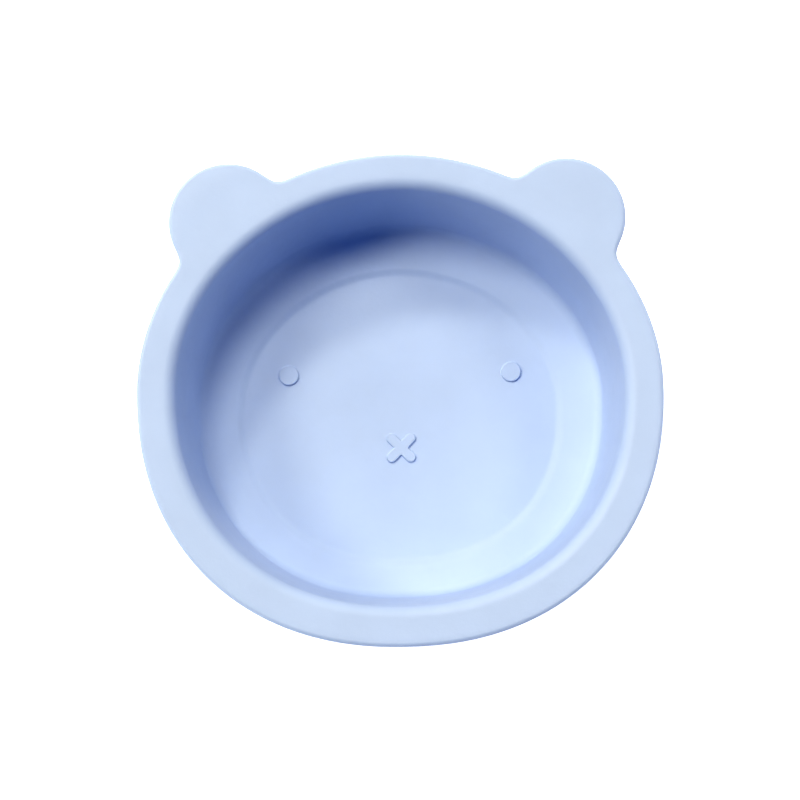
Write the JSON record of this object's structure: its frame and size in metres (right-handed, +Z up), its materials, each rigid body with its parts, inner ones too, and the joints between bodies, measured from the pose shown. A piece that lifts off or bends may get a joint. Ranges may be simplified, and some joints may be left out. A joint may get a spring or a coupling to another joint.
{
  "type": "suction bowl",
  "caption": "Deep silicone toddler bowl with a flat eared rim, a low-relief face on its floor, and a suction cup with a release tab bonded underneath.",
  "frame": {"origin": "on the table under the middle of the rim, at the centre of the footprint", "axes": "+Z up; +Y from the chin towards the ears; +X to the right, seen from above with the ears at the top"},
  "size_m": [0.1576, 0.1486, 0.049],
  "materials": {
    "bowl_silicone": "soft matte pale blue silicone",
    "cup_silicone": "satin pale blue silicone, smoother where it seals"
  },
  "bodies": {
    "bowl": {"bowl_body": "bowl_silicone", "suction_hub": "cup_silicone", "suction_web": "cup_silicone"},
    "lip": {"suction_lip": "cup_silicone"},
    "tab": {"release_tab": "cup_silicone"}
  },
  "joints": [
    {"name": "suction_press", "type": "slide", "parent": "bowl", "child": "lip", "axis": [0, 0, 1], "range_m": [0, 0.002], "stiffness_N_per_m": 3000, "deforming": ["suction_web"]},
    {"name": "release_tab_lift", "type": "hinge", "parent": "lip", "child": "tab", "pos_m": [0, -0.0495, 0.0021], "axis": [-1, 0, 0], "range_deg": [0, 35], "stiffness_Nm_per_rad": 0.05}
  ]
}
